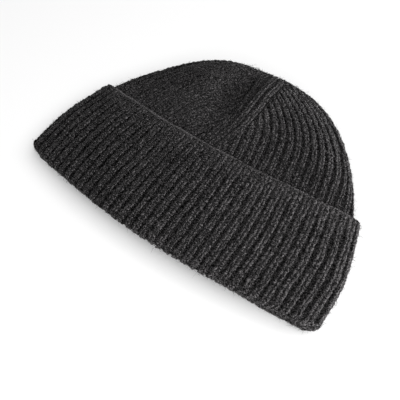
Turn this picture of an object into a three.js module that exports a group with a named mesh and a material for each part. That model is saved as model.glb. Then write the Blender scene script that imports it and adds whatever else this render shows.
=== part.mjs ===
// A ribbed wool hat with a turned-up cuff, lying on its back on a flat surface.
// Units are millimetres. X runs along the rim, Y from the rim to the crown's tip, Z is up.
import * as THREE from "three";

// Fabric
const RIB_COUNT = 72;
const RIBS_PER_PANEL = RIB_COUNT / 4;
const FABRIC = 3.2;
const LAYER_GAP = 0.35;
const NECK_GAP = 0.95;
const NECK_INSET = FABRIC + NECK_GAP;
const RIB_DEPTH = 1.1;
const RIDGE_HALF = 0.27;

// The whole hat
const CUFF_DEPTH = 64.2;
const CROWN_DEPTH = 59.2;
const BACK_ROUNDNESS = 4;
const BACK_PRESS = 1.08;
const BACK_BOW_SHARE = 0.4;
const BACK_RIB_FADE = 3;
const SIDE_STRETCH = 1.15;

// The cuff's cross-sections, from the rim to the cuff's top edge.
// side is the height of the side fold, front the height of the front's middle, bow how far that
// middle comes forward, and square how boxy the front's curve is.
const CUFF_SECTIONS = [
  { share: 0, halfWidth: 110, side: 13.7, front: 20.8, bow: 10.6, square: 2.05 },
  { share: 0.5, halfWidth: 107.2, side: 15.8, front: 24.8, bow: 9.1, square: 2.3 },
  { share: 1, halfWidth: 96.8, side: 18, front: 27.5, bow: 7, square: 2.5 },
];

// The crown's dome, from the cuff's top edge (share 0) to the tip (share 1) along the rows of knitting.
// side, front and back are heights before the dome closes, and square is the front's curve.
const CROWN_SECTIONS = [
  { share: 0, side: 18, front: 27.5 - NECK_INSET, back: NECK_INSET, bow: 7, square: 2.5 },
  { share: 0.25, side: 16.4, front: 39, back: 1.2, bow: 6, square: 2.1 },
  { share: 0.5, side: 19.6, front: 44.6, back: 0, bow: 4, square: 1.8 },
  { share: 0.75, side: 23.2, front: 49.6, back: 0, bow: 2, square: 1.75 },
  { share: 1, side: 25.1, front: 52.8, back: 1, bow: 0, square: 1.75 },
];
const CROWN_WIDTH_CURVE = { along: 1.07, across: 2.65 };
const CROWN_HEIGHT_CURVE = { along: 2.82, across: 1.61 };
const TIP_PUCKER = 2.5;
const TIP_PUCKER_SHARE = 0.14;

// Decreases: three ribs run up each of the four darts, and the panels' ribs are taken in at them, most
// at the middle darts of the front and the back, few at the side folds.
const DART_HALF_RIBS = 1.5;
const TIP_PANEL_RIBS = 7;
const DECREASE = { ribs: 18, power: 1.25 };
const MIDDLE_DART_TAKES = 0.93;

// How far the front dart lies right of the middle, as a share of the way to the side fold
const DART_PATH = [
  { share: 0, aside: -0.03 },
  { share: 0.1, aside: 0.01 },
  { share: 0.2, aside: 0.08 },
  { share: 0.35, aside: 0.11 },
  { share: 1, aside: 0.1 },
];

// Dents and ridges of the front, each a smooth hill (height) at a place, with its reach each way.
const FRONT_FORMS = [
  { name: "ridge of the front dart", x: 10, y: 92, height: 2.5, reachX: 8, reachY: 24 },
  { name: "valley left of the dart", x: -10, y: 90, height: -5, reachX: 10, reachY: 19 },
  { name: "full right shoulder", x: 48, y: 88, height: 2.5, reachX: 22, reachY: 22 },
  { name: "sunken left shoulder", x: -62, y: 84, height: -4, reachX: 20, reachY: 18 },
  { name: "dip left of the cuff's middle", x: -36, y: 32, height: -2, reachX: 22, reachY: 24 },
];
const FORM_SIDE_FADE = 1.6;

// The rim's fold, the cast-on edge and the heights of the rings where the two layers face each other
const FOLD_RADIUS = FABRIC + LAYER_GAP / 2;
const FOLD_TURNS = [1, 0.7, 0.45, 0.2];
const LIP_HEIGHT = 6;
const SEAT_GAP = 0.3;
const EDGE_ROUNDING = 1.3;
const WALL_SHARES = [0.35, 0.7];
const WALL_HEIGHTS = [...WALL_SHARES.map((share) => CUFF_DEPTH * share), CUFF_DEPTH - 2];

// Rings of the dome outside and inside, and the least room that a rib being taken in keeps
const OUTER_SHARES = [0, 0.1, 0.2, 0.3, 0.4, 0.5, 0.6, 0.7, 0.8, 0.88, 0.95];
const INNER_SHARES = [0.95, 0.85, 0.7, 0.55, 0.4, 0.25, 0.1];
const RIB_MARGIN = 0.12;

function clamp(value, low, high) {
  return Math.min(high, Math.max(low, value));
}

function smooth(value) {
  const t = clamp(value, 0, 1);
  return t * t * (3 - 2 * t);
}

// One column of a table at a share between its rows, smoothly.
function read(table, column, share) {
  const at = clamp(share, table[0].share, table[table.length - 1].share);
  let i = 0;
  while (i < table.length - 2 && at > table[i + 1].share) i += 1;
  const value = (k) => table[clamp(k, 0, table.length - 1)][column];
  const place = (k) => table[clamp(k, 0, table.length - 1)].share;
  const slope = (k) => (value(k + 1) - value(k - 1)) / (place(k + 1) - place(k - 1));
  const span = place(i + 1) - place(i);
  const t = (at - place(i)) / span;
  const start = (1 + 2 * t) * (1 - t) ** 2 * value(i) + t * (1 - t) ** 2 * span * slope(i);
  const end = t * t * (3 - 2 * t) * value(i + 1) + t * t * (t - 1) * span * slope(i + 1);
  return start + end;
}

// The cuff's cross-section at a distance from the rim, inset by some depth into the fabric.
function cuffSection(y, inset) {
  const share = y / CUFF_DEPTH;
  const side = read(CUFF_SECTIONS, "side", share);
  return {
    halfWidth: read(CUFF_SECTIONS, "halfWidth", share) - SIDE_STRETCH * inset,
    side,
    rise: read(CUFF_SECTIONS, "front", share) - side - inset,
    drop: side - inset,
    floor: inset,
    square: read(CUFF_SECTIONS, "square", share),
    bow: read(CUFF_SECTIONS, "bow", share),
    dart: 0,
    y,
  };
}

// The dome's cross-section at a share of its rows, inset by some depth into the fabric.
function crownSection(share, inset) {
  const reach = Math.sin((share * Math.PI) / 2);
  const wide = (1 - reach ** CROWN_WIDTH_CURVE.along) ** (1 / CROWN_WIDTH_CURVE.across);
  const high = (1 - reach ** CROWN_HEIGHT_CURVE.along) ** (1 / CROWN_HEIGHT_CURVE.across);
  const side = read(CROWN_SECTIONS, "side", share);
  const back = read(CROWN_SECTIONS, "back", share);
  const baseWidth = cuffSection(CUFF_DEPTH, NECK_INSET).halfWidth;
  const pucker = TIP_PUCKER * smooth((share - 1 + TIP_PUCKER_SHARE) / TIP_PUCKER_SHARE);
  return {
    halfWidth: (baseWidth - SIDE_STRETCH * inset) * wide,
    side,
    rise: (read(CROWN_SECTIONS, "front", share) - side - inset) * high,
    drop: (side - back - inset) * high,
    floor: back + inset * high,
    square: read(CROWN_SECTIONS, "square", share),
    bow: read(CROWN_SECTIONS, "bow", share),
    dart: read(DART_PATH, "aside", share),
    y: CUFF_DEPTH + (CROWN_DEPTH - inset) * reach - pucker,
  };
}

// A point of a cross-section's front or back half, by its angle from the side fold (0) to the middle.
function sectionPoint(section, isFront, angle) {
  const power = 2 / (isFront ? section.square : BACK_ROUNDNESS);
  const x = section.halfWidth * Math.cos(angle) ** power;
  const lift = Math.sin(angle) ** power;
  if (isFront) return { x, z: section.side + section.rise * lift };
  return { x, z: Math.max(section.floor, section.side - section.drop * BACK_PRESS * lift) };
}

// Angles that split a quarter of the cross-section evenly along its length, from middle to side fold.
const STEPS = 160;
function evenAngles(section, isFront) {
  const length = [0];
  let last = sectionPoint(section, isFront, Math.PI / 2);
  for (let i = 1; i <= STEPS; i += 1) {
    const next = sectionPoint(section, isFront, Math.max(0, (Math.PI / 2) * (1 - i / STEPS)));
    length.push(length[i - 1] + Math.hypot(next.x - last.x, next.z - last.z));
    last = next;
  }
  return (part) => {
    const goal = clamp(part, 0, 1) * length[STEPS];
    let i = 1;
    while (i < STEPS && length[i] < goal) i += 1;
    const within = (goal - length[i - 1]) / Math.max(length[i] - length[i - 1], 1e-9);
    return Math.max(0, (Math.PI / 2) * (1 - (i - 1 + within) / STEPS));
  };
}

// How far the front's dents and ridges lift a point. They fade out towards the side folds.
function formLift(x, y, angle) {
  let lift = 0;
  for (const form of FRONT_FORMS) {
    lift += form.height * Math.exp(-(((x - form.x) / form.reachX) ** 2) - ((y - form.y) / form.reachY) ** 2);
  }
  return lift * smooth(Math.sin(angle) * FORM_SIDE_FADE);
}

// How many ribs lie between a key and the middle dart of its face. Key 0 is the front dart, 18 the right
// fold, 36 the back dart and 54 the left fold.
function ribsFromDart(key) {
  const inside = key % RIBS_PER_PANEL;
  return Math.floor(key / RIBS_PER_PANEL) % 2 === 0 ? inside : RIBS_PER_PANEL - inside;
}

// Places round the hat where a ring has its points, when each panel still has some number of ribs. at
// counts those ribs from the middle dart, and groove says whether the place lies between two ridges.
function ribPlaces(panelRibs) {
  const places = [];
  const lost = RIBS_PER_PANEL - panelRibs;
  const add = (key, groove) => {
    const away = ribsFromDart(key);
    let at = away - MIDDLE_DART_TAKES * lost;
    if (away <= DART_HALF_RIBS) at = away;
    else if (away >= RIBS_PER_PANEL - DART_HALF_RIBS) at = away - lost;
    else if (at < DART_HALF_RIBS + RIB_MARGIN || at > panelRibs - DART_HALF_RIBS - RIB_MARGIN) return;
    places.push({ key, part: at / panelRibs, groove });
  };
  for (let rib = 0; rib < RIB_COUNT; rib += 1) {
    add(rib + RIDGE_HALF, false);
    add(rib + 0.5, true);
    add(rib + 1 - RIDGE_HALF, false);
  }
  return places;
}

function plainPlaces() {
  const places = [];
  for (let key = 0; key < RIB_COUNT; key += 1) {
    places.push({ key, part: ribsFromDart(key) / RIBS_PER_PANEL, groove: false });
  }
  return places;
}

// A ring of points round the hat. sectionAt(isGroove) gives the cross-section that a point lies on, and
// the points are spaced evenly along the outer cross-section, so that nested layers line up.
function makeRing(places, outer, sectionAt) {
  const ridge = sectionAt(false);
  const valley = sectionAt(true);
  const spacing = { front: evenAngles(outer, true), back: evenAngles(outer, false) };
  return places.map((place) => {
    const isFront = place.key < RIBS_PER_PANEL || place.key >= 3 * RIBS_PER_PANEL;
    const middle = (place.key < 2 * RIBS_PER_PANEL ? 1 : -1) * place.part;
    const part = middle + (isFront ? outer.dart * (1 - Math.abs(middle)) : 0);
    const angle = isFront ? spacing.front(Math.abs(part)) : spacing.back(Math.abs(part));
    const top = sectionPoint(ridge, isFront, angle);
    const low = sectionPoint(valley, isFront, angle);
    const pressed = isFront ? 1 : smooth((top.z - ridge.floor) / BACK_RIB_FADE);
    const depth = place.groove ? pressed : 0;
    const x = (part < 0 ? -1 : 1) * (top.x + (low.x - top.x) * depth);
    const bow = (isFront ? 1 : BACK_BOW_SHARE) * ridge.bow * (1 - (top.x / ridge.halfWidth) ** 2);
    const y = ridge.y + (valley.y - ridge.y) * depth - bow;
    const z = top.z + (low.z - top.z) * depth + (isFront ? formLift(x, y, angle) : 0);
    return { key: place.key, point: new THREE.Vector3(x, y, z) };
  });
}

// Joins two rings by their keys. A rib that ends between them runs out at the edge of its dart.
// Faces that lie against each other are split the same way, whichever way round their rings are given.
function joinRings(triangles, lower, upper) {
  const upperKeys = new Set(upper.map((p) => p.key.toFixed(3)));
  const losesRibs = upper.length < lower.length && upper.length > RIB_COUNT;
  const matched = (p) => {
    if (!losesRibs || upperKeys.has(p.key.toFixed(3))) return p.key;
    const away = ribsFromDart(p.key);
    const lastOfMiddle = DART_HALF_RIBS + MIDDLE_DART_TAKES * (RIBS_PER_PANEL - 2 * DART_HALF_RIBS);
    const edge = away < lastOfMiddle ? DART_HALF_RIBS : RIBS_PER_PANEL - DART_HALF_RIBS;
    const inPanel = p.key % RIBS_PER_PANEL;
    return p.key - inPanel + (inPanel === away ? edge : RIBS_PER_PANEL - edge);
  };
  const keyOf = (ring, i, use) => use(ring[i % ring.length]) + (i >= ring.length ? RIB_COUNT : 0);
  const own = (p) => p.key;
  const rising = upper[0].point.y > lower[0].point.y;
  let i = 0;
  let j = 0;
  while (i < lower.length || j < upper.length) {
    const nextLower = i < lower.length ? keyOf(lower, i + 1, matched) : Infinity;
    const nextUpper = j < upper.length ? keyOf(upper, j + 1, own) : Infinity;
    const a = lower[i % lower.length].point;
    const b = upper[j % upper.length].point;
    if (rising ? nextUpper <= nextLower : nextUpper < nextLower) {
      j += 1;
      triangles.push([a, upper[j % upper.length].point, b]);
    } else {
      i += 1;
      triangles.push([a, lower[i % lower.length].point, b]);
    }
  }
}

function closeTip(triangles, ring, tip, flip) {
  ring.forEach((p, i) => {
    const next = ring[(i + 1) % ring.length].point;
    triangles.push(flip ? [next, p.point, tip] : [p.point, next, tip]);
  });
}

function meshOf(name, triangles, material) {
  const geometry = new THREE.BufferGeometry();
  const numbers = triangles.flatMap((t) => t.flatMap((p) => [p.x, p.y, p.z]));
  geometry.setAttribute("position", new THREE.Float32BufferAttribute(numbers, 3));
  geometry.computeVertexNormals();
  const mesh = new THREE.Mesh(geometry, material);
  mesh.name = name;
  return mesh;
}

// The cuff: the fabric's outer layer, turned up at the rim, with the fold itself.
function makeCuff(material) {
  const ribbed = ribPlaces(RIBS_PER_PANEL);
  const plain = plainPlaces();
  const face = (y, inset) =>
    makeRing(ribbed, cuffSection(y, 0), (groove) => cuffSection(y, inset + (groove ? RIB_DEPTH : 0)));
  const hidden = (y, inset) => makeRing(plain, cuffSection(y, 0), () => cuffSection(y, inset));
  const fold = (turn) =>
    makeRing(ribbed, cuffSection(0, 0), (groove) => {
      const radius = FOLD_RADIUS - (groove ? RIB_DEPTH : 0);
      const section = cuffSection(0, FOLD_RADIUS - radius * Math.cos(turn));
      return { ...section, y: FOLD_RADIUS - radius * Math.sin(turn) };
    });
  const rings = [
    fold(0),
    face(WALL_HEIGHTS[0], 0),
    face(WALL_HEIGHTS[1], 0),
    face(CUFF_DEPTH - EDGE_ROUNDING, 0),
    face(CUFF_DEPTH, EDGE_ROUNDING),
    ...WALL_HEIGHTS.toReversed().map((y) => hidden(y, FABRIC)),
    hidden(LIP_HEIGHT, FABRIC),
    hidden(LIP_HEIGHT, 2 * FOLD_RADIUS),
    ...FOLD_TURNS.map((share) => fold(Math.PI * share)),
  ];
  const triangles = [];
  rings.forEach((ring, i) => joinRings(triangles, ring, rings[(i + 1) % rings.length]));
  return meshOf("cuff", triangles, material);
}

// The crown: the inner layer from the rim's fold up, and the dome with its four darts.
function makeCrown(material) {
  const plain = plainPlaces();
  const outerInset = FABRIC + LAYER_GAP;
  const innerInset = 2 * FABRIC + LAYER_GAP;
  const wall = (y, inset) => makeRing(plain, cuffSection(y, 0), () => cuffSection(y, inset));
  const ribsAt = (share) => {
    const kept = RIBS_PER_PANEL - DECREASE.ribs * share ** DECREASE.power;
    return Math.max(TIP_PANEL_RIBS, kept);
  };
  const dome = (share) =>
    makeRing(ribPlaces(ribsAt(share)), crownSection(share, 0), (groove) =>
      crownSection(share, groove ? RIB_DEPTH : 0),
    );
  const lining = (share) => makeRing(plain, crownSection(share, 0), () => crownSection(share, FABRIC));
  const heights = [LIP_HEIGHT + SEAT_GAP, ...WALL_HEIGHTS];
  const outer = [...heights.map((y) => wall(y, outerInset)), ...OUTER_SHARES.map(dome)];
  const inner = [...INNER_SHARES.map(lining), ...heights.toReversed().map((y) => wall(y, innerInset))];
  const triangles = [];
  outer.slice(1).forEach((ring, i) => joinRings(triangles, outer[i], ring));
  inner.slice(1).forEach((ring, i) => joinRings(triangles, inner[i], ring));
  joinRings(triangles, inner[inner.length - 1], outer[0]);
  const tipOf = (inset) => {
    const section = crownSection(1, inset);
    return new THREE.Vector3(0, section.y, section.side);
  };
  closeTip(triangles, outer[outer.length - 1], tipOf(0), false);
  closeTip(triangles, inner[0], tipOf(FABRIC), true);
  return meshOf("crown", triangles, material);
}

const wool = new THREE.MeshStandardMaterial({ color: 0x302e2f, roughness: 0.95, metalness: 0 });
const crownWool = wool.clone();
const hat = new THREE.Group();
hat.add(makeCuff(wool), makeCrown(crownWool));

// The origin is the middle of the hat's underside.
const bounds = new THREE.Box3().setFromObject(hat);
const middle = bounds.getCenter(new THREE.Vector3());
hat.position.set(-middle.x, -middle.y, -bounds.min.z);

export default hat;
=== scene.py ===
# A ribbed wool hat lying on its back on a pale table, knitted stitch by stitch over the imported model.
# Shape functions work in millimetres, with Y measured from the rim. Meshes are made in metres.
import math
import bpy
import numpy as np
from mathutils import Matrix, Vector


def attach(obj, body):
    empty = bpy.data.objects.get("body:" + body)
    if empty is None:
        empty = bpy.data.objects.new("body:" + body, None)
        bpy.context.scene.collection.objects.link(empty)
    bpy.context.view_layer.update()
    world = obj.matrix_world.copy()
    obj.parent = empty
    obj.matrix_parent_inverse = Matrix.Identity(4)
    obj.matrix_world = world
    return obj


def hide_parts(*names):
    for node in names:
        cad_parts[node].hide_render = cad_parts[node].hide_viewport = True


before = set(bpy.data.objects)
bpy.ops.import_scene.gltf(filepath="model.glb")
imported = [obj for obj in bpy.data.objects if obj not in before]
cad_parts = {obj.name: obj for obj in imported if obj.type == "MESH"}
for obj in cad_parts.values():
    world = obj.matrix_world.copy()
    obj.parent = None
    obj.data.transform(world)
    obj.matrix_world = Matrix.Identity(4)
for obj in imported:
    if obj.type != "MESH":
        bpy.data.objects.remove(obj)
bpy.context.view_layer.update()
random = np.random.default_rng(7)

# Where the shape's own origin, the middle of the rim, lies in the frame
SHIFT_Y = -55.828
MM = 0.001

# Fabric and ribs: its thickness, the gap between its layers, a row of stitches and a rib's full width
RIB_COUNT = 72
RIBS_PER_PANEL = 18
FABRIC = 3.2
LAYER_GAP = 0.35
NECK_INSET = FABRIC + 0.95
ROW = 2.1
RIB_PITCH = 6.0

# The crown's darts: ribs that each panel keeps, and the share of the lost ones that the middle dart
# takes in
DART_HALF_RIBS = 1.5
TIP_PANEL_RIBS = 7.0
DECREASE, DECREASE_POWER = 18, 1.25
MIDDLE_DART_TAKES = 0.93

# The whole hat, and how the back is pressed flat
CUFF_DEPTH = 64.2
CROWN_DEPTH = 59.2
BACK_ROUNDNESS = 4.0
BACK_PRESS = 1.08
BACK_BOW_SHARE = 0.4
SIDE_STRETCH = 1.15
FOLD_RADIUS = FABRIC + LAYER_GAP / 2
FORM_SIDE_FADE = 1.6

# Cross-sections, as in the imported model: one column for each size
CUFF_SECTIONS = {
    "share": (0, 0.5, 1),
    "half_width": (110, 107.2, 96.8),
    "side": (13.7, 15.8, 18),
    "front": (20.8, 24.8, 27.5),
    "bow": (10.6, 9.1, 7),
    "square": (2.05, 2.3, 2.5),
}
CROWN_SECTIONS = {
    "share": (0, 0.25, 0.5, 0.75, 1),
    "side": (18, 16.4, 19.6, 23.2, 25.1),
    "front": (27.5 - NECK_INSET, 39, 44.6, 49.6, 52.8),
    "back": (NECK_INSET, 1.2, 0, 0, 1),
    "bow": (7, 6, 4, 2, 0),
    "square": (2.5, 2.1, 1.8, 1.75, 1.75),
}
# How far the front dart lies right of the middle, as a share of the way to the side fold
DART_PATH = {
    "share": (0, 0.1, 0.2, 0.35, 1),
    "aside": (-0.06, 0.01, 0.08, 0.11, 0.1),
}
WIDTH_ALONG, WIDTH_ACROSS = 1.07, 2.65
HEIGHT_ALONG, HEIGHT_ACROSS = 2.82, 1.61
TIP_PUCKER, TIP_PUCKER_SHARE = 2.5, 0.14

# The rim's rounded corners: how far they draw in, over what depth of the cuff, and over what width
CORNER_LIFT, CORNER_REACH, CORNER_WIDTH = 2.7, 12, 6.0

# Dents and ridges of the front: x, y, height, reach in x, reach in y
FRONT_FORMS = (
    (10, 92, 2.5, 8, 24),
    (-10, 90, -5, 10, 19),
    (48, 88, 2.5, 22, 22),
    (-62, 84, -4, 20, 18),
    (-36, 32, -2, 22, 24),
)

# Limits that keep a division or a direction safe
TINY = 1e-9
LEAST_WIDTH = 1e-6
LEAST_SPAN = 0.02
WIDEST_SPAN = 12


def smooth(value):
    """0 up to 0, 1 from 1 on, and an easy curve between."""
    t = np.clip(value, 0, 1)
    return t * t * (3 - 2 * t)


def bell(value):
    """1 at 0, fading to 0 on both sides."""
    return np.exp(-(value**2))


def unit(vectors):
    """The vectors drawn out or in to a length of 1."""
    return vectors / np.maximum(np.linalg.norm(vectors, axis=-1, keepdims=True), TINY)


def read(table, column, share):
    """One column of a table at a share between its rows, smoothly."""
    places, values = table["share"], table[column]
    last = len(places) - 1
    at = min(max(share, places[0]), places[-1])
    i = 0
    while i < last - 1 and at > places[i + 1]:
        i += 1

    def slope(k):
        before, after = max(k - 1, 0), min(k + 1, last)
        return (values[after] - values[before]) / (places[after] - places[before])

    span = places[i + 1] - places[i]
    t = (at - places[i]) / span
    start = (1 + 2 * t) * (1 - t) ** 2 * values[i] + t * (1 - t) ** 2 * span * slope(i)
    end = t * t * (3 - 2 * t) * values[i + 1] + t * t * (t - 1) * span * slope(i + 1)
    return start + end


def cuff_section(y, inset):
    """The cuff's cross-section at a depth y from the rim, drawn in by an inset."""
    share = y / CUFF_DEPTH
    side = read(CUFF_SECTIONS, "side", share)
    return {
        "half_width": read(CUFF_SECTIONS, "half_width", share) - SIDE_STRETCH * inset,
        "side": side,
        "rise": read(CUFF_SECTIONS, "front", share) - side - inset,
        "drop": side - inset,
        "floor": inset,
        "square": read(CUFF_SECTIONS, "square", share),
        "bow": read(CUFF_SECTIONS, "bow", share),
        "y": y,
        "ribs": RIBS_PER_PANEL,
        "dart": 0,
    }


def crown_section(share, inset):
    """The dome's cross-section at a share of the way to the tip, drawn in by an inset."""
    reach = math.sin(share * math.pi / 2)
    wide = max(0, 1 - reach**WIDTH_ALONG) ** (1 / WIDTH_ACROSS)
    high = max(0, 1 - reach**HEIGHT_ALONG) ** (1 / HEIGHT_ACROSS)
    side = read(CROWN_SECTIONS, "side", share)
    back = read(CROWN_SECTIONS, "back", share)
    pucker = TIP_PUCKER * float(smooth((share - 1 + TIP_PUCKER_SHARE) / TIP_PUCKER_SHARE))
    return {
        "half_width": (cuff_section(CUFF_DEPTH, NECK_INSET)["half_width"] - SIDE_STRETCH * inset) * wide,
        "side": side,
        "rise": (read(CROWN_SECTIONS, "front", share) - side - inset) * high,
        "drop": (side - back - inset) * high,
        "floor": back + inset * high,
        "square": read(CROWN_SECTIONS, "square", share),
        "bow": read(CROWN_SECTIONS, "bow", share),
        "y": CUFF_DEPTH + (CROWN_DEPTH - inset) * reach - pucker,
        "ribs": max(TIP_PANEL_RIBS, RIBS_PER_PANEL - DECREASE * share**DECREASE_POWER),
        "dart": read(DART_PATH, "aside", share),
    }


def fold_section(turn):
    """The cross-section at a turn round the rim's fold, from its outer to its inner layer."""
    section = cuff_section(0, FOLD_RADIUS * (1 - math.cos(turn)))
    section["y"] = FOLD_RADIUS * (1 - math.sin(turn))
    return section


def section_point(section, is_front, angle):
    """A point of the front or the back: angle 0 is the side fold, a right angle the middle."""
    power = 2 / (section["square"] if is_front else BACK_ROUNDNESS)
    x = section["half_width"] * np.cos(angle) ** power
    lift = np.sin(angle) ** power
    if is_front:
        return x, section["side"] + section["rise"] * lift
    return x, np.maximum(section["floor"], section["side"] - section["drop"] * BACK_PRESS * lift)


SWEEP_STEPS = 160
SWEEP = np.maximum(0, np.pi / 2 * (1 - np.arange(SWEEP_STEPS + 1) / SWEEP_STEPS))


def even_angles(section, is_front, part):
    """Angles that split a quarter of the cross-section evenly along its length, from middle to side."""
    x, z = section_point(section, is_front, SWEEP)
    length = np.concatenate([[0], np.cumsum(np.hypot(np.diff(x), np.diff(z)))])
    return np.interp(np.clip(part, 0, 1) * length[-1], length, SWEEP)


def ribs_from_dart(keys):
    """How many ribs lie between each key and the middle dart of its face, front or back."""
    inside = keys % RIBS_PER_PANEL
    return np.where(np.floor(keys / RIBS_PER_PANEL) % 2 == 0, inside, RIBS_PER_PANEL - inside)


def from_dart(key):
    """Ribs to the right of the front dart, or to its left where negative."""
    return (np.asarray(key) + RIB_COUNT / 2) % RIB_COUNT - RIB_COUNT / 2


def at_side_fold(key, reach):
    """1 on the two side folds, fading to 0 over a number of ribs."""
    return bell((np.asarray(key) % (RIB_COUNT / 2) - RIBS_PER_PANEL) / reach)


def ring(section, keys):
    """Points round the hat at rib keys.

    Key 0 is the front dart, 18 the right side fold, 36 the back dart and 54 the left side fold.
    """
    keys = np.asarray(keys, float) % RIB_COUNT
    is_front = (keys < RIBS_PER_PANEL) | (keys >= 3 * RIBS_PER_PANEL)
    side = np.where(keys < 2 * RIBS_PER_PANEL, 1, -1)
    away = ribs_from_dart(keys)
    total = section["ribs"]
    lost = RIBS_PER_PANEL - total
    at = np.clip(away - MIDDLE_DART_TAKES * lost, DART_HALF_RIBS, total - DART_HALF_RIBS)
    at = np.where(away < DART_HALF_RIBS, away, at)
    at = np.where(away > RIBS_PER_PANEL - DART_HALF_RIBS, away - lost, at)
    place = side * at / total
    place = place + np.where(is_front, section["dart"] * (1 - np.abs(place)), 0)
    side = np.where(place < 0, -1, 1)
    front_angle = even_angles(section, True, np.abs(place))
    back_angle = even_angles(section, False, np.abs(place))
    front_x, front_z = section_point(section, True, front_angle)
    back_x, back_z = section_point(section, False, back_angle)
    x = np.where(is_front, front_x, back_x)
    across = x / max(section["half_width"], LEAST_WIDTH)
    bow = np.where(is_front, 1, BACK_BOW_SHARE) * section["bow"] * (1 - across**2)
    y = section["y"] - bow
    near_side = np.clip(1 - (section["half_width"] - x) / CORNER_WIDTH, 0, 1) ** 2
    y = y + CORNER_LIFT * max(0, 1 - section["y"] / CORNER_REACH) ** 2 * near_side
    x = side * x
    lift = sum(
        height * np.exp(-(((x - at_x) / reach_x) ** 2) - ((y - at_y) / reach_y) ** 2)
        for at_x, at_y, height, reach_x, reach_y in FRONT_FORMS
    )
    front_z = front_z + lift * smooth(np.sin(front_angle) * FORM_SIDE_FADE)
    return np.stack([x, y, np.where(is_front, front_z, back_z)], -1)


class Fabric:
    """A layer of knitting as a grid of points: rows along the knitting, and columns round the hat."""

    COLUMNS = RIB_COUNT * 8
    LEVELS_PER_ROW = 3

    def __init__(self, sections, outward):
        """outward is 1 for a layer that faces away from the hat's middle, and -1 for one that faces it."""
        keys = np.arange(self.COLUMNS) * RIB_COUNT / self.COLUMNS
        coarse = np.stack([ring(section, keys) for section in sections])
        steps = np.linalg.norm(np.diff(coarse, axis=0), axis=2).mean(axis=1)
        along = np.concatenate([[0], np.cumsum(steps)])
        self.rows = along[-1] / ROW
        count = int(round(self.rows * self.LEVELS_PER_ROW)) + 1
        self.step = self.rows / (count - 1)
        wanted = np.linspace(0, along[-1], count)
        place = np.interp(wanted, along, np.arange(len(along)))
        low = np.minimum(place.astype(int), len(along) - 2)
        mix = (place - low)[:, None, None]
        self.points = coarse[low] * (1 - mix) + coarse[low + 1] * mix
        self.ribs = np.interp(place, np.arange(len(along)), [section["ribs"] for section in sections])
        self.normals = self.find_normals(outward)
        self.pitch = self.find_pitch()

    def find_normals(self, outward):
        """The layer's outward directions. Where a dart draws points together, the span is widened."""
        across = np.roll(self.points, -1, 1) - np.roll(self.points, 1, 1)
        length = np.linalg.norm(across, axis=2)
        for column in range(1, WIDEST_SPAN):
            short = length < LEAST_SPAN
            if not short.any():
                break
            wide = np.roll(self.points, -1 - column, 1) - np.roll(self.points, 1 + column, 1)
            across[short] = wide[short]
            length = np.linalg.norm(across, axis=2)
        down = np.gradient(self.points, axis=0)
        normals = unit(np.cross(across, down))
        middle = self.points.mean(axis=1, keepdims=True)
        side = np.sign(((self.points - middle) * normals).sum(axis=(1, 2)))[:, None, None]
        return normals * np.median(side) * outward

    def find_pitch(self):
        """Millimetres a rib takes up at each row, in the middle of the panels."""
        perimeter = np.linalg.norm(np.roll(self.points, -1, 1) - self.points, axis=2).sum(axis=1)
        return perimeter / (4 * self.ribs)

    def at(self, key, row, height):
        """Points of the layer at rib keys and rows, raised by a height above it."""
        column = np.asarray(key) * self.COLUMNS / RIB_COUNT
        level = np.clip(np.asarray(row) / self.step, 0, len(self.points) - 1.001)
        low_column = np.floor(column).astype(int)
        low_level = np.floor(level).astype(int)
        u = (column - low_column)[..., None]
        v = (level - low_level)[..., None]

        def mixed(grid):
            a = grid[low_level, low_column % self.COLUMNS]
            b = grid[low_level, (low_column + 1) % self.COLUMNS]
            c = grid[low_level + 1, low_column % self.COLUMNS]
            d = grid[low_level + 1, (low_column + 1) % self.COLUMNS]
            return (a * (1 - u) + b * u) * (1 - v) + (c * (1 - u) + d * u) * v

        normal = unit(mixed(self.normals))
        return mixed(self.points) + normal * np.asarray(height)[..., None], normal

    def level_value(self, values, row):
        """A value that is kept for every level of the grid, read at a row."""
        return np.interp(np.asarray(row) / self.step, np.arange(len(values)), values)


# The least height of any point, in millimetres
ABOVE_TABLE = 0.03


def to_frame(points):
    """Millimetres to the frame's metres, with nothing below the table."""
    moved = np.array(points, float)
    moved[..., 1] += SHIFT_Y
    moved[..., 2] = np.maximum(moved[..., 2], ABOVE_TABLE)
    return moved * MM


def make_piece(name, points, quads, uvs, tone):
    """A mesh in the frame.

    Its tone says how light the wool is, painted light and shade included: 0 in a groove's painted shade,
    1 on a strand painted bright.
    """
    mesh = bpy.data.meshes.new(name)
    points = to_frame(points).reshape(-1, 3)
    quads = np.asarray(quads, np.int32).reshape(-1, 4)
    mesh.vertices.add(len(points))
    mesh.vertices.foreach_set("co", points.ravel())
    mesh.loops.add(quads.size)
    mesh.loops.foreach_set("vertex_index", quads.ravel())
    mesh.polygons.add(len(quads))
    mesh.polygons.foreach_set("loop_start", np.arange(len(quads)) * 4)
    if uvs is not None:
        layer = mesh.uv_layers.new(name="knit")
        layer.data.foreach_set("uv", np.asarray(uvs, float).reshape(-1, 2)[quads.ravel()].ravel())
    layer = mesh.attributes.new("tone", "FLOAT", "POINT")
    layer.data.foreach_set("value", np.broadcast_to(np.ravel(tone), len(points)).astype(np.float32))
    mesh.update(calc_edges=True)
    mesh.validate()
    mesh.shade_smooth()
    piece = bpy.data.objects.new(name, mesh)
    bpy.context.scene.collection.objects.link(piece)
    return piece


def grid_quads(levels, columns):
    """Quads of a grid whose columns close round the hat."""
    level, column = np.meshgrid(np.arange(levels - 1), np.arange(columns), indexing="ij")
    a = level * columns + column
    b = level * columns + (column + 1) % columns
    return np.stack([a, b, b + columns, a + columns], -1).reshape(-1, 4)


# Painted light: how much lighter a strand is painted on its top than on its sides, and darker underneath
PAINTED_TOP_LIGHT = 0.1
# How far the texture of one strand is moved along from the one before
STRAND_SHIFT = 0.37


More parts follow.
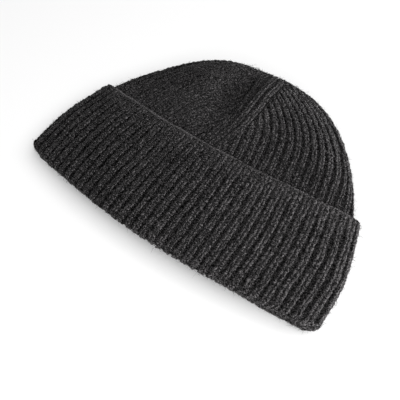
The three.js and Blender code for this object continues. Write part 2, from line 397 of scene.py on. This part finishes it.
def tubes(fabric, key, row, height, half_width, half_height, sides, tone):
    """Strands along the fabric: arrays of strands by steps, each with its own section sizes."""
    centre, normal = fabric.at(key, row, height)
    along = unit(np.gradient(centre, axis=1))
    across = unit(np.cross(normal, along))
    turn = np.arange(sides) * 2 * np.pi / sides
    cos, sin = np.cos(turn)[None, None, :, None], np.sin(turn)[None, None, :, None]
    wide = np.broadcast_to(half_width, centre.shape[:2])[:, :, None, None]
    high = np.broadcast_to(half_height, centre.shape[:2])[:, :, None, None]
    points = centre[:, :, None] + across[:, :, None] * cos * wide + normal[:, :, None] * sin * high
    strands, steps = centre.shape[:2]
    counts = np.arange(strands), np.arange(steps - 1), np.arange(sides)
    strand, step, side = np.meshgrid(*counts, indexing="ij")
    a = (strand * steps + step) * sides + side
    b = (strand * steps + step) * sides + (side + 1) % sides
    quads = np.stack([a, b, b + sides, a + sides], -1).reshape(-1, 4)
    u = np.broadcast_to(turn[None, None] / (2 * np.pi), points.shape[:3])
    v = np.broadcast_to(np.linspace(0, 1, steps)[None, :, None], points.shape[:3])
    # Painted light and shade: each strand's tone is raised on its top and lowered underneath
    shade = np.broadcast_to(tone, centre.shape[:2])[:, :, None] + PAINTED_TOP_LIGHT * sin[..., 0]
    uvs = np.stack([u, v + np.arange(strands)[:, None, None] * STRAND_SHIFT], -1)
    return points.reshape(-1, 3), quads, uvs.reshape(-1, 2), shade.reshape(-1)


# Hand-made unevenness: the height of two waves, in ribs, and how fast each runs with the row and the key
WANDER = 0.03
WANDER_WAVES = ((0.55, 2.1), (0.21, -0.9))


def rib_wander(key, row):
    """How far a rib strays sideways at a row, in ribs."""
    return sum(WANDER * np.sin(row * by_row + key * by_key) for by_row, by_key in WANDER_WAVES)


# How much of the ribs' relief goes where they are pulled flat, and on the rim's fold
FLAT_TAKES, FOLD_TAKES = 0.85, 0.5
# On the fold: how far the grooves are filled in, and over how many rows
FOLD_FILL, FOLD_REACH = 1.3, 1.8
# A rib's width beside its full one: its most, and its least as the fabric's surface and as stitches
MOST_PITCH, LEAST_GROUND_PITCH, LEAST_PITCH = 1.05, 0.15, 0.2
# A rib near a dart: its share of the full width, how many ribs from the dart it has it, and over how
# many more the share would grow by 1. A rib with less than the last value is gone.
ROOM_AT_DART, ROOM_START, ROOM_REACH, NO_ROOM = 0.55, 0.25, 1.6, 0.5


class Knit:
    """How a layer is knitted.

    legs: how far a stitch's legs lie from the rib's middle at their foot and at their top, in ribs, and
    half a leg's width. groove: its depth. The groove's tone: the wool's tone in it, painted dark as the
    groove's shade. flat, shade and groove_shade are functions of key and row: how flat the ribs are
    pulled, the painted light and shade added to the wool's tone, and the shade painted into its grooves.
    fold_row: the row on the rim's fold, where the layer has one.
    """

    def __init__(self, fabric, legs, groove, painted_groove_tone, flat, shade, groove_shade, fold_row=None):
        self.fabric, self.legs, self.groove, self.painted_groove_tone = fabric, legs, groove, painted_groove_tone
        self.flat, self.shade, self.groove_shade = flat, shade, groove_shade
        self.fold_row = fold_row

    def key_at(self, key, row):
        """The place round the hat of a rib's key at a row, with its unevenness."""
        return key + rib_wander(np.round(key), row)

    def pitch(self, row, least=LEAST_PITCH):
        """How wide a rib is at a row, beside its full width."""
        width = self.fabric.level_value(self.fabric.pitch, row)
        return np.clip(width / RIB_PITCH, least, MOST_PITCH)

    def relief(self, key, row):
        """How strong the ribs stand out: less where they are pulled flat, and on the rim's fold."""
        strength = self.pitch(row) * (1 - FLAT_TAKES * self.flat(key, row))
        return strength * (1 - FOLD_TAKES * self.at_fold(row))

    def at_fold(self, row):
        """1 on the rim's fold, where the stretched fabric closes its grooves, and 0 away from it."""
        if not self.fold_row:
            return 0.0 * np.asarray(row)
        return bell((row - self.fold_row) / FOLD_REACH)

    def room(self, key, row):
        """1 for a rib with its whole width, and less for one that is being taken in."""
        total = self.fabric.level_value(self.fabric.ribs, row)
        away = ribs_from_dart(key)
        lost = RIBS_PER_PANEL - total
        from_middle = away - MIDDLE_DART_TAKES * lost - DART_HALF_RIBS
        from_side = total - DART_HALF_RIBS - (away - MIDDLE_DART_TAKES * lost)
        in_dart = (away < DART_HALF_RIBS) | (away > RIBS_PER_PANEL - DART_HALF_RIBS)
        space = np.minimum(from_middle, from_side)
        return np.where(in_dart, 1, np.minimum(1, ROOM_AT_DART + (space - ROOM_START) / ROOM_REACH))

    def columns(self, keys, rows):
        """Every stitch's rib and row, without the ribs that are gone."""
        key, row = (grid.ravel().astype(float) for grid in np.meshgrid(keys, rows, indexing="ij"))
        room = self.room(key, row)
        kept = room > NO_ROOM
        return key[kept, None], row[kept, None], room[kept, None]


# How much a stitch's legs vary: in spread, along the row, in height, in thickness, sideways, in lean and
# in tone
STITCH_STRAY = np.array([0.1, 0.1, 0.15, 0.14, 0.014, 0.035, 0.07])[:, None, None]
# A leg starts a little before its row and reaches over into the next one
LEG_START, LEG_LENGTH = -0.25, 1.55
# How deep a leg lies at its ends, how far it rises between them, and its thickness beside its width
LEG_DEPTH, LEG_ARCH, LEG_THICKNESS = 0.9, 0.75, 0.62
STITCH_TONE = 0.52
# Where the ribs are pulled flat: how far the fabric sinks, and how much the legs spread, widen and darken
FLAT_SINK, FLAT_SPREAD, FLAT_WIDEN, FLAT_DARKEN = 0.5, 0.07, 0.3, 0.03


def stitches(name, knit, keys, rows, steps=6, sides=5):
    """A knit column on every rib, each stitch two legs that open like a V along the knitting."""
    key, row, room = (np.repeat(value, 2, axis=0) for value in knit.columns(keys, rows))
    count = len(key)
    side = np.tile([-1.0, 1.0], count // 2)[:, None]
    t = np.linspace(0, 1, steps)[None, :]
    wider, further, higher, thicker, aside, leaning, lighter = (
        random.normal(0, 1, (7, count, 1)) * STITCH_STRAY
    )
    flat = knit.flat(key, row)
    inner, outer, half_width = knit.legs
    opening = inner + (outer - inner) * t**0.8 + FLAT_SPREAD * flat
    spread = opening * (1 + wider) * room + aside
    at_key = knit.key_at(key, row) + side * spread + leaning * (t - 0.5)
    at_row = row + LEG_START + LEG_LENGTH * t + further
    arch = np.sin(np.pi * (0.1 + 0.8 * t))
    height = (-LEG_DEPTH + LEG_ARCH * arch) * knit.relief(key, row) - FLAT_SINK * flat
    height = height + higher * knit.pitch(row)
    body = np.sin(np.pi * (0.05 + 0.9 * t)) ** 0.55 * (1 + thicker) * knit.pitch(row)
    wide = half_width * (1 + FLAT_WIDEN * flat) * body * room
    # Painted light and shade: the knit's shade is added to each stitch's tone
    tone = STITCH_TONE + lighter - FLAT_DARKEN * flat + knit.shade(key, row)
    strands = tubes(knit.fabric, at_key, at_row, height, wide, LEG_THICKNESS * body, sides, tone)
    return make_piece(name, *strands)


# How much a purl bar varies: along the row, in height and in tone
PURL_STRAY = np.array([0.12, 0.1, 0.1])[:, None, None]
# Its depth and half its thickness among standing ribs, and what flat ribs add to them
PURL_DEPTH, FLAT_ADDS_DEPTH = 0.55, 0.35
PURL_THICK, FLAT_ADDS_THICK = 0.44, 0.16
# How far it reaches to each side, in ribs, how far it sags along the row, and how its ends rise
PURL_REACH, PURL_SAG, PURL_ENDS = 0.3, 0.22, 0.3
# Its tone where it is pulled level with the ribs, out of the grooves' painted shade
FLAT_PURL_TONE = 0.45


def purls(name, knit, keys, rows, steps=5, sides=4):
    """The bars of yarn in each groove between two ribs, one to a row, level with the ribs where flat."""
    key, row, room = knit.columns(keys, rows)
    room = np.minimum(room, knit.room(key + 1, row))
    kept = room[:, 0] > NO_ROOM
    key, row = key[kept], row[kept]
    t = np.linspace(-1, 1, steps)[None, :]
    further, higher, lighter = random.normal(0, 1, (3, len(key), 1)) * PURL_STRAY
    flat = knit.flat(key + 0.5, row)
    at_key = (knit.key_at(key, row) + knit.key_at(key + 1, row)) / 2 + PURL_REACH * t
    at_row = row + further + PURL_SAG * (1 - t * t)
    groove = knit.groove * knit.relief(key + 0.5, row) * (1 - PURL_ENDS * t * t)
    height = -(PURL_DEPTH + FLAT_ADDS_DEPTH * flat) * knit.pitch(row) - groove + higher
    height = height + FOLD_FILL * knit.at_fold(row)
    thick = (PURL_THICK + FLAT_ADDS_THICK * flat) * knit.pitch(row) * np.ones_like(t)
    # Painted shade: a bar is dark down in its groove and lighter where it is pulled level with the ribs;
    # the knit's painted light and painted groove shade are added
    tone = knit.painted_groove_tone + (FLAT_PURL_TONE - knit.painted_groove_tone) * flat + lighter
    tone = tone + knit.shade(key, row) - knit.groove_shade(key, row)
    strands = tubes(knit.fabric, at_key, at_row, height, thick, thick, sides, tone)
    return make_piece(name, *strands)


# Over how many ribs the cast-on edge lies closer and darker at the side folds
CAST_ON_TUCK = 1.2


def cast_on(name, knit, row, steps_per_rib=12, sides=6):
    """Two strands of yarn wound round each other along the cuff's first row, a turn to every rib.

    Slow waves make the twist, the place, the thickness and the tone uneven.
    """
    key = np.linspace(RIB_COUNT / 2, RIB_COUNT * 1.5, RIB_COUNT * steps_per_rib + 1)
    phase = 2 * np.pi * key + 0.8 * np.sin(key * 0.7)
    turn = np.stack([phase, phase + np.pi])
    at_row = row + 0.16 * np.cos(turn) + 0.1 * np.sin(key * 0.9) + 0.06 * np.sin(key * 2.3)
    tucked = at_side_fold(key, CAST_ON_TUCK)
    height = -0.3 + 0.3 * np.sin(turn) + 0.12 * np.sin(key * 1.7) - 0.5 * tucked
    leftward = smooth(0.5 - from_dart(key) / 16)
    thick = 0.36 + 0.1 * leftward + 0.05 * np.sin(key * 3.1 + np.array([[0], [2]]))
    # Painted highlight: the strands are painted far lighter than the stitches, as the lit edge they stand
    # for, lighter still towards the left, and darker where they tuck in at the side folds
    tone = 1.15 + 0.5 * leftward + 0.3 * np.sin(key * 1.3 + np.array([[0], [1]])) - 0.8 * tucked
    both = np.stack([key, key])
    strands = tubes(knit.fabric, both, at_row, height, thick, thick, sides, tone)
    return make_piece(name, *strands)


# Loose fibres: their usual length and how much it varies, how much they lift and bend, and half their
# width
FIBRE_LENGTH, LENGTH_STRAY, FIBRE_LIFT, FIBRE_BEND, FIBRE_WIDTH = 2.2, 0.35, 0.35, 0.35, 0.075
# How close to a layer's first and last row fibres grow
FIBRE_MARGIN = 0.3


def fuzz(name, knit, count):
    """Loose wool fibres: thin curved slivers, most of them lying along the surface."""
    farthest = RIB_COUNT / 2 + 0.5
    key = random.uniform(-farthest, farthest, count)
    row = random.uniform(FIBRE_MARGIN, knit.fabric.rows - FIBRE_MARGIN, count)
    key = np.round(key) + random.normal(0, 0.2, count)
    kept = knit.room(np.round(key), row) > NO_ROOM
    key, row = key[kept][:, None], row[kept][:, None]
    count = len(key)
    base, normal = knit.fabric.at(knit.key_at(key, row), row, -0.25 * knit.relief(key, row))
    base, normal = base[:, 0], normal[:, 0]
    any_way = random.normal(0, 1, (count, 3))
    along = unit(any_way - (any_way * normal).sum(1, keepdims=True) * normal)
    sideways = np.cross(normal, along)
    reach = FIBRE_LENGTH * random.lognormal(0, LENGTH_STRAY, (count, 1))
    tilt = np.abs(random.normal(0, FIBRE_LIFT, (count, 1)))
    bend = random.normal(0, FIBRE_BEND, (count, 1))
    middle = base + reach * 0.5 * (along + sideways * bend * 0.4 + normal * tilt)
    end_tilt = tilt * random.uniform(-0.1, 1.1, (count, 1))
    end = base + reach * (along * 0.9 + sideways * bend + normal * end_tilt)
    flat = unit(np.cross(along, random.normal(0, 1, (count, 3))))
    half = flat * FIBRE_WIDTH * random.uniform(0.6, 1.4, (count, 1))
    corners = [base - half, base + half]
    corners += [middle + half * 0.9, middle - half * 0.9]
    corners += [end + half * 0.25, end - half * 0.25]
    points = np.stack(corners, 1)
    first = np.arange(count)[:, None] * len(corners)
    quads = np.concatenate([first + np.array([0, 1, 2, 3]), first + np.array([3, 2, 4, 5])])
    tone = np.repeat(random.uniform(0.35, 0.95, count), len(corners))
    return make_piece(name, points.reshape(-1, 3), quads, None, tone)


def rib_profile(key):
    """0 on a rib's ridge and 1 in the groove between two ribs."""
    return (1 - np.cos(2 * np.pi * key)) / 2


# The surface under the stitches: its columns to a rib, and its tone on the ribs' ridges
GROUND_COLUMNS, GROUND_TONE = 6, 0.4


def layer_grid(knit, levels_per_row, base):
    """The fabric's own surface, with its grooves: points, uvs, tone, and its levels and columns."""
    columns = RIB_COUNT * GROUND_COLUMNS
    levels = int(knit.fabric.rows * levels_per_row) + 1
    all_keys = np.arange(columns) / GROUND_COLUMNS
    key, row = np.meshgrid(all_keys, np.linspace(0, knit.fabric.rows, levels))
    in_groove = rib_profile(key) ** 0.8
    flat = knit.flat(key, row)
    groove = knit.groove * knit.relief(key, row) * in_groove
    height = base * knit.pitch(row, LEAST_GROUND_PITCH) - FLAT_SINK * flat - groove
    height = height + FOLD_FILL * knit.at_fold(row)
    points, _ = knit.fabric.at(knit.key_at(key, row), row, height)
    # Painted shade: the ground darkens down into each groove, less where the ribs are pulled flat; the
    # knit's painted light and painted groove shade are added
    tone = GROUND_TONE + (knit.painted_groove_tone - GROUND_TONE) * in_groove * (1 - flat)
    tone = tone + knit.shade(key, row) - knit.groove_shade(key, row) * in_groove
    return points, np.stack([key, row], -1), tone, levels, columns


# Wool from its darkest fibres to its brightest: place on the scale of lightness, grey value
WOOL_GREYS = ((0, 0.001), (0.25, 0.019), (0.4, 0.037), (0.56, 0.062), (0.8, 0.125), (1, 0.2))
WOOL_TINT = (1.0, 0.95, 0.97)
# What adds to the lightness beside the fibres' speckle: the mesh's tone, which holds painted light and
# shade, and large faint clouds
TONE_WEIGHT, CLOUD_WEIGHT, MEAN_LIGHTNESS = 0.4, 0.2, 0.085
# Sizes of the speckle, the clouds and the bump: how many go to a metre
SPECKLE_SCALE, CLOUD_SCALE, BUMP_SCALE = 1400, 45, 1700
BUMP_STRENGTH, BUMP_DEPTH = 0.7, 0.0005


def wool(name, lighter=0.0, speckling=3.65):
    """Fuzzy melange wool: dark and light fibres at random, a sheen, and lighter where the mesh's tone is,
    with the light and shade painted into that tone.
    """
    material = bpy.data.materials.new(name)
    material.use_nodes = True
    nodes, links = material.node_tree.nodes, material.node_tree.links
    shader = nodes["Principled BSDF"]
    shader.inputs["Sheen Weight"].default_value = 0.2
    shader.inputs["Sheen Roughness"].default_value = 0.35
    shader.inputs["Specular IOR Level"].default_value = 0.12
    place = nodes.new("ShaderNodeTexCoord")

    def noise(scale, detail, roughness=0.6):
        node = nodes.new("ShaderNodeTexNoise")
        node.inputs["Scale"].default_value = scale
        node.inputs["Detail"].default_value = detail
        node.inputs["Roughness"].default_value = roughness
        links.new(place.outputs["Object"], node.inputs["Vector"])
        return node.outputs["Fac"]

    def scaled(value, factor, added):
        """value times factor, plus a number or another value."""
        node = nodes.new("ShaderNodeMath")
        node.operation = "MULTIPLY_ADD"
        links.new(value, node.inputs[0])
        node.inputs[1].default_value = factor
        if isinstance(added, float):
            node.inputs[2].default_value = added
        else:
            links.new(added, node.inputs[2])
        return node.outputs[0]

    tone = nodes.new("ShaderNodeAttribute")
    tone.attribute_name = "tone"
    speckle = noise(SPECKLE_SCALE, 1.5)
    base = scaled(tone.outputs["Fac"], TONE_WEIGHT, lighter + MEAN_LIGHTNESS - speckling / 2)
    mixed = scaled(noise(CLOUD_SCALE, 3), CLOUD_WEIGHT, base)
    lightness = scaled(speckle, speckling, mixed)
    ramp = nodes.new("ShaderNodeValToRGB")
    stops = ramp.color_ramp.elements
    while len(stops) < len(WOOL_GREYS):
        stops.new(0.5)
    for stop, (place_on_scale, grey) in zip(stops, WOOL_GREYS):
        stop.position = place_on_scale
        stop.color = (*(grey * tint for tint in WOOL_TINT), 1)
    links.new(lightness, ramp.inputs["Fac"])
    links.new(ramp.outputs["Color"], shader.inputs["Base Color"])
    rough = nodes.new("ShaderNodeMapRange")
    rough.inputs["To Min"].default_value = 0.85
    rough.inputs["To Max"].default_value = 1.0
    links.new(speckle, rough.inputs["Value"])
    links.new(rough.outputs["Result"], shader.inputs["Roughness"])
    bump = nodes.new("ShaderNodeBump")
    bump.inputs["Strength"].default_value = BUMP_STRENGTH
    bump.inputs["Distance"].default_value = BUMP_DEPTH
    links.new(noise(BUMP_SCALE, 4, 0.7), bump.inputs["Height"])
    links.new(bump.outputs["Normal"], shader.inputs["Normal"])
    return material


def finish_piece(piece, material, slot, *nodes):
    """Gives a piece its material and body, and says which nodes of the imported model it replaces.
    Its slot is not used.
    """
    piece.data.materials.append(material)
    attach(piece, "root")
    if nodes:
        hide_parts(*nodes)


def cuff_flat(key, row):
    """The cuff's ribs are pulled flat along its cast-on edge, a little at the left and at the folds."""
    at_edge = 0.9 * (1 - smooth((row - 0.5) / 7.5))
    left = smooth((13 - np.abs(from_dart(key) + 11)) / 6) * 0.2 * (1 - smooth((row - 10) / 12))
    return np.maximum(np.maximum(at_edge, left), 0.45 * at_side_fold(key, 1.6))


def dome_flat(key, row):
    """The left front panel is pulled flat, and so are the foot of the front dart and the sides a little."""
    rightward = from_dart(key)
    panel = 0.95 * smooth((-rightward - 1.4) / 1.6) * smooth((17.5 + rightward) / 2)
    foot_of_dart = 0.7 * smooth((2.4 - np.abs(rightward)) / 0.8) * (1 - smooth((row - 11) / 9))
    right_side = 0.12 * smooth((rightward - 9.5) / 4) * smooth(20 - rightward)
    sides = np.maximum(right_side, 0.3 * at_side_fold(key, 1.8))
    return np.maximum(np.maximum(panel, foot_of_dart), sides)


def cuff_painted_light(key, row):
    """Painted light and shade on the cuff's wool.

    It is lighter at its right side fold than at its left one, as the light falls from the right, darker
    left of the middle, and lighter along its edge.
    """
    rightward = from_dart(key)
    sideways = 0.3 * np.sin(np.pi * rightward / 36)
    left_middle = 0.13 * bell((rightward + 9) / 5)
    edge = 0.25 * (1 - smooth(row / 8))
    return sideways - 0.04 - left_middle + edge


def cuff_groove_shade(key, row):
    """The cuff's grooves are darker towards the rim at the left, where little light falls in."""
    return 0.4 * smooth((6 - from_dart(key)) / 12) * smooth((row - 9) / 12)


def dome_painted_light(key, row):
    """Painted light and shade on the crown's wool.

    It is lighter right of the front dart, and darker on the dart and near the right side.
    """
    rightward = from_dart(key)
    beside_dart = 0.16 * bell((rightward - 3) / 4)
    right_side = 0.14 * bell((rightward - 13) / 4)
    dart = 0.12 * bell(rightward / 1.5) * smooth((row - 18) / 12)
    return beside_dart - right_side - dart


def nowhere(key, row):
    """0 all over a layer."""
    return 0.0 * (np.asarray(key) + np.asarray(row))


# The cuff's layer: from its cast-on edge down its face, round the rim's fold and up a short lip inside
LIP = FOLD_RADIUS * 1.8
FACE_SECTIONS, FOLD_SECTIONS = 60, 14
face_depths = np.linspace(0, CUFF_DEPTH - FOLD_RADIUS, FACE_SECTIONS)
cuff_sections = [cuff_section(CUFF_DEPTH - depth, 0) for depth in face_depths]
cuff_sections += [fold_section(turn) for turn in np.linspace(0, math.pi, FOLD_SECTIONS)[1:]]
cuff_sections.append(cuff_section(LIP, 2 * FOLD_RADIUS))
cuff = Knit(
    Fabric(cuff_sections, 1),
    legs=(0.14, 0.195, 1.02),
    groove=1.7,
    # Painted shade: the wool down in the grooves is given a dark tone
    painted_groove_tone=0.03,
    flat=cuff_flat,
    shade=cuff_painted_light,
    groove_shade=cuff_groove_shade,
    fold_row=31.5,
)

# The dome's layer: from a little way down inside the cuff to just short of the tip
NECK_DEPTH, NECK_SECTIONS = 9, 5
DOME_SECTIONS, TIP_CROWDING, TIP_HOLE = 90, 1.25, 0.004
left_to_tip = (1 - np.linspace(0, 1, DOME_SECTIONS)) ** TIP_CROWDING
dome_shares = 1 - left_to_tip * (1 - TIP_HOLE) - TIP_HOLE
neck_dart = {"dart": DART_PATH["aside"][0]}
neck_depths = np.linspace(CUFF_DEPTH - NECK_DEPTH, CUFF_DEPTH, NECK_SECTIONS)[:-1]
dome_sections = [cuff_section(y, NECK_INSET) | neck_dart for y in neck_depths]
dome_sections += [crown_section(share, 0) for share in dome_shares]
dome = Knit(
    Fabric(dome_sections, 1),
    legs=(0.12, 0.175, 0.93),
    groove=1.25,
    # Painted shade: the wool down in the grooves is given a dark tone
    painted_groove_tone=0.16,
    flat=dome_flat,
    shade=dome_painted_light,
    groove_shade=nowhere,
)

# The layer that faces the head: from the lip to near the tip
INNER_SECTIONS = 30
inner_depths = np.linspace(LIP, CUFF_DEPTH - 2, INNER_SECTIONS)
inner_sections = [cuff_section(y, 2 * FOLD_RADIUS) for y in inner_depths]
inner_sections += [crown_section(share, FABRIC) for share in dome_shares[6:-3]]
inside = Knit(
    Fabric(inner_sections, -1),
    legs=(0.12, 0.2, 0.86),
    groove=1.4,
    # Painted shade: the wool down in the grooves is given a dark tone
    painted_groove_tone=0.1,
    flat=nowhere,
    shade=nowhere,
    groove_shade=nowhere,
)

charcoal = wool("charcoal_wool")
cuff_charcoal = wool("cuff_charcoal_wool", lighter=-0.03, speckling=4.8)
fibre_wool = wool("charcoal_wool_fibres", lighter=0.1)

# The surfaces under the stitches, and how high they lie on the layers. The cuff's is closed by the face
# that it turns to the crown.
OUTER_BASE, INNER_BASE = -0.75, -0.3
HIDDEN_DEPTHS, HIDDEN_TONE = (7.5, 32, CUFF_DEPTH - 0.8), 0.2
points, uvs, tone, levels, columns = layer_grid(cuff, 1.0, OUTER_BASE)
keys_round = np.arange(columns) / GROUND_COLUMNS
hidden_face = np.stack([ring(cuff_section(y, FABRIC), keys_round) for y in HIDDEN_DEPTHS])
hidden = len(HIDDEN_DEPTHS)
hidden_rows = np.arange(float(hidden))[:, None]
hidden_uvs = np.stack(np.broadcast_arrays(keys_round, hidden_rows), -1)
points = np.concatenate([points, hidden_face])
uvs = np.concatenate([uvs, hidden_uvs])
tone = np.concatenate([tone, np.full((hidden, columns), HIDDEN_TONE)])
quads = grid_quads(levels + hidden, columns)
around = np.arange(columns)
following = (around + 1) % columns
last = (levels + hidden - 1) * columns
closing = np.stack([last + around, last + following, following, around], -1)
cuff_body = make_piece("cuff_body", points, np.concatenate([quads, closing]), uvs, tone)
finish_piece(cuff_body, cuff_charcoal, "cuff_wool", "cuff")

points, uvs, tone, levels, columns = layer_grid(dome, 1.0, OUTER_BASE)
crown_body = make_piece("crown_body", points, grid_quads(levels, columns), uvs, tone)
finish_piece(crown_body, charcoal, "crown_wool", "crown")

points, uvs, tone, levels, columns = layer_grid(inside, 0.7, INNER_BASE)
crown_inside = make_piece("crown_inside", points, grid_quads(levels, columns), uvs, tone)
finish_piece(crown_inside, charcoal, "crown_wool")

# Stitches, in a front and a back half, with more sides to a strand in front
FRONT_KEYS, BACK_KEYS, ALL_KEYS = np.arange(-18, 18), np.arange(18, 54), np.arange(RIB_COUNT)
INSIDE_ROW_COUNT = 17
cuff_rows = np.arange(0.5, cuff.fabric.rows - 0.5)
dome_rows = np.arange(2.5, dome.fabric.rows - 0.4)
inside_rows = np.arange(0.3, INSIDE_ROW_COUNT)
for half, keys, sides in (("front", FRONT_KEYS, 5), ("back", BACK_KEYS, 4)):
    cuff_stitches = stitches("cuff_stitches_" + half, cuff, keys, cuff_rows, sides=sides)
    finish_piece(cuff_stitches, cuff_charcoal, "cuff_wool")
    crown_stitches = stitches("crown_stitches_" + half, dome, keys, dome_rows, sides=sides)
    finish_piece(crown_stitches, charcoal, "crown_wool")
inside_stitches = stitches("inside_stitches", inside, ALL_KEYS, inside_rows, steps=5, sides=4)
finish_piece(inside_stitches, charcoal, "crown_wool")
finish_piece(purls("cuff_purls", cuff, ALL_KEYS, cuff_rows), cuff_charcoal, "cuff_wool")
finish_piece(purls("crown_purls", dome, ALL_KEYS, dome_rows), charcoal, "crown_wool")
finish_piece(cast_on("cuff_cast_on", cuff, row=0.15), charcoal, "cuff_wool")
finish_piece(fuzz("cuff_fuzz", cuff, count=22000), fibre_wool, "cuff_wool")
finish_piece(fuzz("crown_fuzz", dome, count=18000), fibre_wool, "crown_wool")

# Camera: where it stands round the hat, how it is turned, and what it looks at
AZIMUTH, ELEVATION, ROLL = math.radians(50.79), math.radians(56.92), math.radians(-14.66)
DISTANCE, TARGET = 375.5, Vector((13.6, 26.6 + SHIFT_Y, 20))
LENS, SENSOR = 58.23, 36
level_toward = math.cos(ELEVATION)
toward = Vector((
    math.sin(AZIMUTH) * level_toward,
    -math.cos(AZIMUTH) * level_toward,
    math.sin(ELEVATION),
))
level_right = Vector((math.cos(AZIMUTH), math.sin(AZIMUTH), 0))
level_up = toward.cross(level_right)
right = level_right * math.cos(ROLL) + level_up * math.sin(ROLL)
up = toward.cross(right)
camera_data = bpy.data.cameras.new("camera")
camera_data.sensor_width = SENSOR
camera_data.lens = LENS
camera = bpy.data.objects.new("camera", camera_data)
turn = Matrix((right, up, toward)).transposed().to_4x4()
camera.matrix_world = Matrix.Translation((TARGET + toward * DISTANCE) * MM) @ turn
bpy.context.scene.collection.objects.link(camera)
bpy.context.scene.camera = camera

# Floor: half its width in metres, its grey and its roughness
HALF_FLOOR, FLOOR_GREY, FLOOR_ROUGHNESS = 6, 0.9, 0.9
floor_mesh = bpy.data.meshes.new("floor")
floor_corners = [(x * HALF_FLOOR, y * HALF_FLOOR, 0) for x, y in ((-1, -1), (1, -1), (1, 1), (-1, 1))]
floor_mesh.from_pydata(floor_corners, [], [(0, 1, 2, 3)])
floor = bpy.data.objects.new("floor", floor_mesh)
bpy.context.scene.collection.objects.link(floor)
pale = bpy.data.materials.new("pale_table")
pale.use_nodes = True
pale_shader = pale.node_tree.nodes["Principled BSDF"]
pale_shader.inputs["Base Color"].default_value = (FLOOR_GREY, FLOOR_GREY, FLOOR_GREY, 1)
pale_shader.inputs["Roughness"].default_value = FLOOR_ROUGHNESS
floor_mesh.materials.append(pale)


# Lights: place, size in metres, watts, and whether they light only the floor or all but the floor
LIT_POINT = Vector((0, 0, 0.02))
FRONT = (1.17, -0.95, 2)
LOW_RIGHT = tuple(right * 1.2 - up * 0.2 + Vector((0, 0, 0.2)))
LIGHTS = (
    ("front_soft", FRONT, 1.95, 22, "EXCLUDE"),
    ("low_right", LOW_RIGHT, 0.6, 10, "EXCLUDE"),
    ("side_right", (1.2, -0.1, 0.3), 0.5, 13, "EXCLUDE"),
    ("floor_front", FRONT, 1.95, 43, "INCLUDE"),
    ("floor_right", (1.49, 0.15, 2), 1.95, 49, "INCLUDE"),
)
WORLD_STRENGTH = 0.2


def area_light(name, place, size, power, floor_state):
    """A square light, turned to the hat."""
    data = bpy.data.lights.new(name, "AREA")
    data.energy = power
    data.size = size
    light = bpy.data.objects.new(name, data)
    light.location = place
    light.rotation_euler = (LIT_POINT - Vector(place)).to_track_quat("-Z", "Y").to_euler()
    bpy.context.scene.collection.objects.link(light)
    lit = bpy.data.collections.new(name + "_lights")
    lit.objects.link(floor)
    light.light_linking.receiver_collection = lit
    lit.collection_objects[0].light_linking.link_state = floor_state


for light_values in LIGHTS:
    area_light(*light_values)
world = bpy.data.worlds.new("studio")
world.use_nodes = True
backdrop = world.node_tree.nodes["Background"]
backdrop.inputs["Color"].default_value = (1, 1, 1, 1)
backdrop.inputs["Strength"].default_value = WORLD_STRENGTH
bpy.context.scene.world = world
bpy.context.scene.view_settings.view_transform = "Standard"
